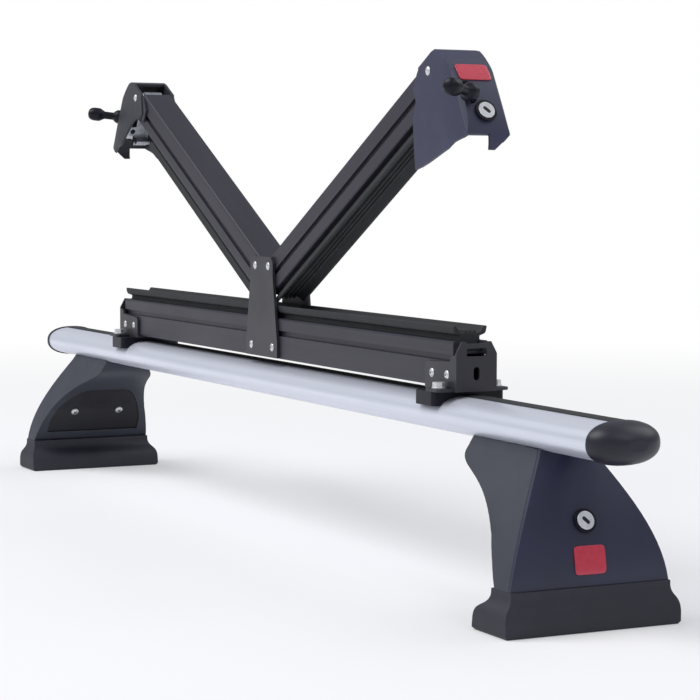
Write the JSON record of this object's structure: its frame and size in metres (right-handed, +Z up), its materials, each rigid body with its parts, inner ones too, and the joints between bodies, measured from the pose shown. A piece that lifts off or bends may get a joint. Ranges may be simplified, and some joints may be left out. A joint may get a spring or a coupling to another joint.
{
  "type": "roof ski carrier",
  "caption": "Roof bar on two locking feet with a V-arm ski clamp: rubber-lined rail, two folding arms, latching heads and push knobs.",
  "frame": {"origin": "on the plane that the feet stand on, under the middle of the crossbar", "axes": "+X along the crossbar to the near end, +Z up from the roof, -Y the front, the side that the knobs lean to"},
  "size_m": [1.144, 0.142, 0.4075],
  "materials": {
    "bar": "satin anodised",
    "dark_aluminium": "satin, dark coated",
    "bracket": "satin, dark coated sheet",
    "rubber": "dull",
    "tower": "fine grain",
    "cover": "smooth",
    "head": "fine grain",
    "trim": "fine grain",
    "steel": "zinc plated",
    "zinc": "die cast",
    "lock": "satin chrome",
    "bush": "smooth"
  },
  "bodies": {
    "carrier": {"crossbar": "bar", "end_cap_near": "trim", "end_cap_far": "trim", "slot_strip_near": "rubber", "slot_strip_mid": "rubber", "slot_strip_far": "rubber", "foot_tower_near": "tower", "foot_cover_near": "cover", "foot_pad_near": "rubber", "foot_panel_near": "trim", "foot_tower_far": "tower", "foot_cover_far": "cover", "foot_pad_far": "rubber", "foot_panel_far": "trim", "foot_barrels": "lock", "foot_bolts": "steel", "foot_nuts": "steel", "panel_screws": "steel", "ski_rail": "dark_aluminium", "rail_rubber": "rubber", "end_bracket_near": "bracket", "end_bracket_far": "bracket", "saddle_near": "trim", "saddle_far": "trim", "end_rivets": "steel", "ear_bolts": "steel", "slot_bolts": "steel", "slot_nuts": "steel", "centre_plate_front": "bracket", "centre_plate_rear": "bracket", "plate_rivets": "steel", "pivot_pins": "steel"},
    "arm_near": {"arm_near": "dark_aluminium", "arm_rubber_near": "rubber", "arm_bush_near": "bush", "head_near": "head", "head_pin_near": "steel", "latch_pin_near": "steel", "latch_spring_near": "steel", "head_barrel_near": "lock"},
    "arm_far": {"arm_far": "dark_aluminium", "arm_rubber_far": "rubber", "arm_bush_far": "bush", "head_far": "head", "head_pin_far": "steel", "latch_pin_far": "steel", "latch_spring_far": "steel", "head_barrel_far": "lock"},
    "latch_near": {"latch_near": "zinc", "knob_near": "trim"},
    "latch_far": {"latch_far": "zinc", "knob_far": "trim"},
    "head_plug_near": {"head_plug_near": "lock"},
    "head_plug_far": {"head_plug_far": "lock"},
    "foot_plug_near": {"foot_plug_near": "lock"},
    "foot_plug_far": {"foot_plug_far": "lock"}
  },
  "joints": [
    {"name": "arm_near_fold", "type": "hinge", "parent": "carrier", "child": "arm_near", "pos_m": [0.0138, 0, 0.2345], "axis": [0, -1, 0], "range_deg": [-28.5, 31.5]},
    {"name": "arm_far_fold", "type": "hinge", "parent": "carrier", "child": "arm_far", "pos_m": [-0.0138, 0, 0.2345], "axis": [0, 1, 0], "range_deg": [-28.5, 31.5]},
    {"name": "latch_near_swing", "type": "hinge", "parent": "arm_near", "child": "latch_near", "pos_m": [0.3074, 0, 0.39164], "axis": [0, -1, 0], "range_deg": [0, 10], "stiffness_Nm_per_rad": 0.25, "springref_deg": -20.05},
    {"name": "latch_far_swing", "type": "hinge", "parent": "arm_far", "child": "latch_far", "pos_m": [-0.3074, 0, 0.39164], "axis": [0, 1, 0], "range_deg": [0, 10], "stiffness_Nm_per_rad": 0.25, "springref_deg": -20.05},
    {"name": "head_plug_near_turn", "type": "hinge", "parent": "arm_near", "child": "head_plug_near", "pos_m": [0.3644, 0, 0.36], "axis": [0.8788, 0, 0.4772], "range_deg": [0, 90]},
    {"name": "head_plug_far_turn", "type": "hinge", "parent": "arm_far", "child": "head_plug_far", "pos_m": [-0.3644, 0, 0.36], "axis": [-0.8788, 0, 0.4772], "range_deg": [0, 90]},
    {"name": "foot_plug_near_turn", "type": "hinge", "parent": "carrier", "child": "foot_plug_near", "pos_m": [0.5058, 0, 0.075], "axis": [0.9289, 0, 0.3703], "range_deg": [0, 90]},
    {"name": "foot_plug_far_turn", "type": "hinge", "parent": "carrier", "child": "foot_plug_far", "pos_m": [-0.5058, 0, 0.075], "axis": [-0.9289, 0, 0.3703], "range_deg": [0, 90]}
  ]
}
